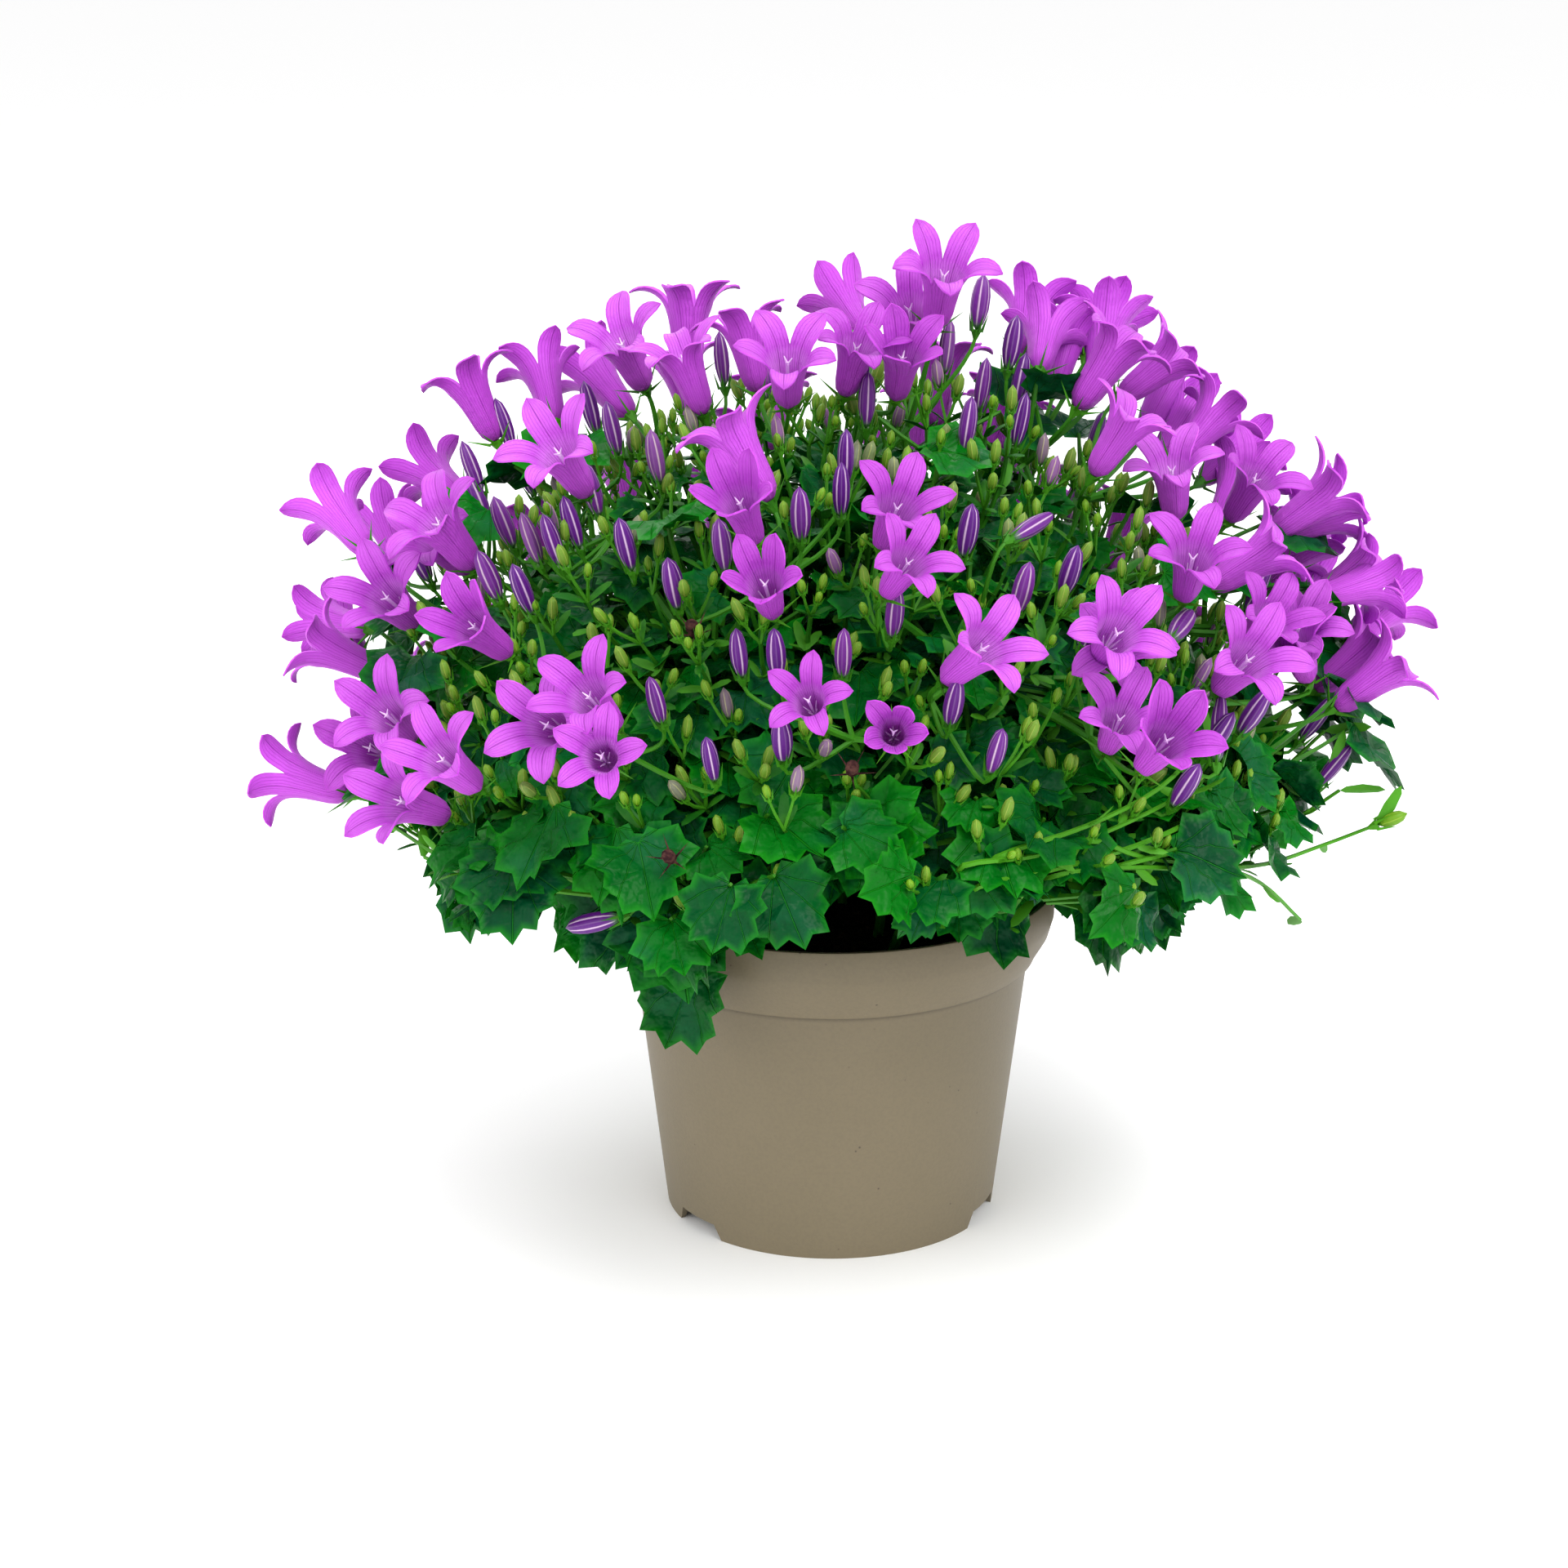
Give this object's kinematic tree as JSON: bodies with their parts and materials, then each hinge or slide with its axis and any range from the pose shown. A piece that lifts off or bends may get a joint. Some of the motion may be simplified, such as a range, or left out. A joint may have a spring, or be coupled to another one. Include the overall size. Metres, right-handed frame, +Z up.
{
  "type": "potted bellflower",
  "caption": "Bushy dwarf bellflower in full purple bloom, grown in a plain taupe plastic nursery pot.",
  "frame": {"origin": "on the surface that the pot stands on, under the middle of the plant's overall box, within 2 mm of the pot's own axis", "axes": "+Z up along the pot's axis, +X along the plant's widest spread, -Y towards the side that the picture shows"},
  "size_m": [0.3077, 0.2743, 0.2643],
  "materials": {
    "pot_plastic": "matte, with tiny darker specks",
    "potting_soil": "dark moist peat",
    "foliage": "semi-gloss leaf",
    "petals": "soft matte petal"
  },
  "bodies": {
    "root": {"pot": "pot_plastic", "soil": "potting_soil", "leafy_stem_01": "foliage", "leafy_stem_02": "foliage", "leafy_stem_03": "foliage", "leafy_stem_04": "foliage", "leafy_stem_05": "foliage", "leafy_stem_06": "foliage", "leafy_stem_07": "foliage", "leafy_stem_08": "foliage", "leafy_stem_09": "foliage", "leafy_stem_10": "foliage", "leafy_stem_11": "foliage", "leafy_stem_12": "foliage", "leafy_stem_13": "foliage", "leafy_stem_14": "foliage", "leafy_stem_15": "foliage", "flower_spray_01": "petals", "flower_spray_02": "petals", "flower_spray_03": "petals", "flower_spray_04": "petals", "flower_spray_05": "petals", "flower_spray_06": "petals", "flower_spray_07": "petals", "flower_spray_08": "petals", "flower_spray_09": "petals", "flower_spray_10": "petals", "flower_spray_11": "petals", "flower_spray_12": "petals", "flower_spray_13": "petals", "flower_spray_14": "petals", "flower_spray_15": "petals", "flower_spray_16": "petals", "flower_spray_17": "petals", "flower_spray_18": "petals", "flower_spray_19": "petals", "flower_spray_20": "petals", "flower_spray_21": "petals", "flower_spray_22": "petals", "flower_spray_23": "petals", "flower_spray_24": "petals", "flower_spray_25": "petals", "flower_spray_26": "petals", "flower_spray_27": "petals", "flower_spray_28": "petals", "flower_spray_29": "petals", "flower_spray_30": "petals", "flower_spray_31": "petals", "flower_spray_32": "petals", "flower_spray_33": "petals", "flower_spray_34": "petals", "flower_spray_35": "petals", "flower_spray_36": "petals", "flower_spray_37": "petals", "flower_spray_38": "petals"}
  },
  "joints": []
}
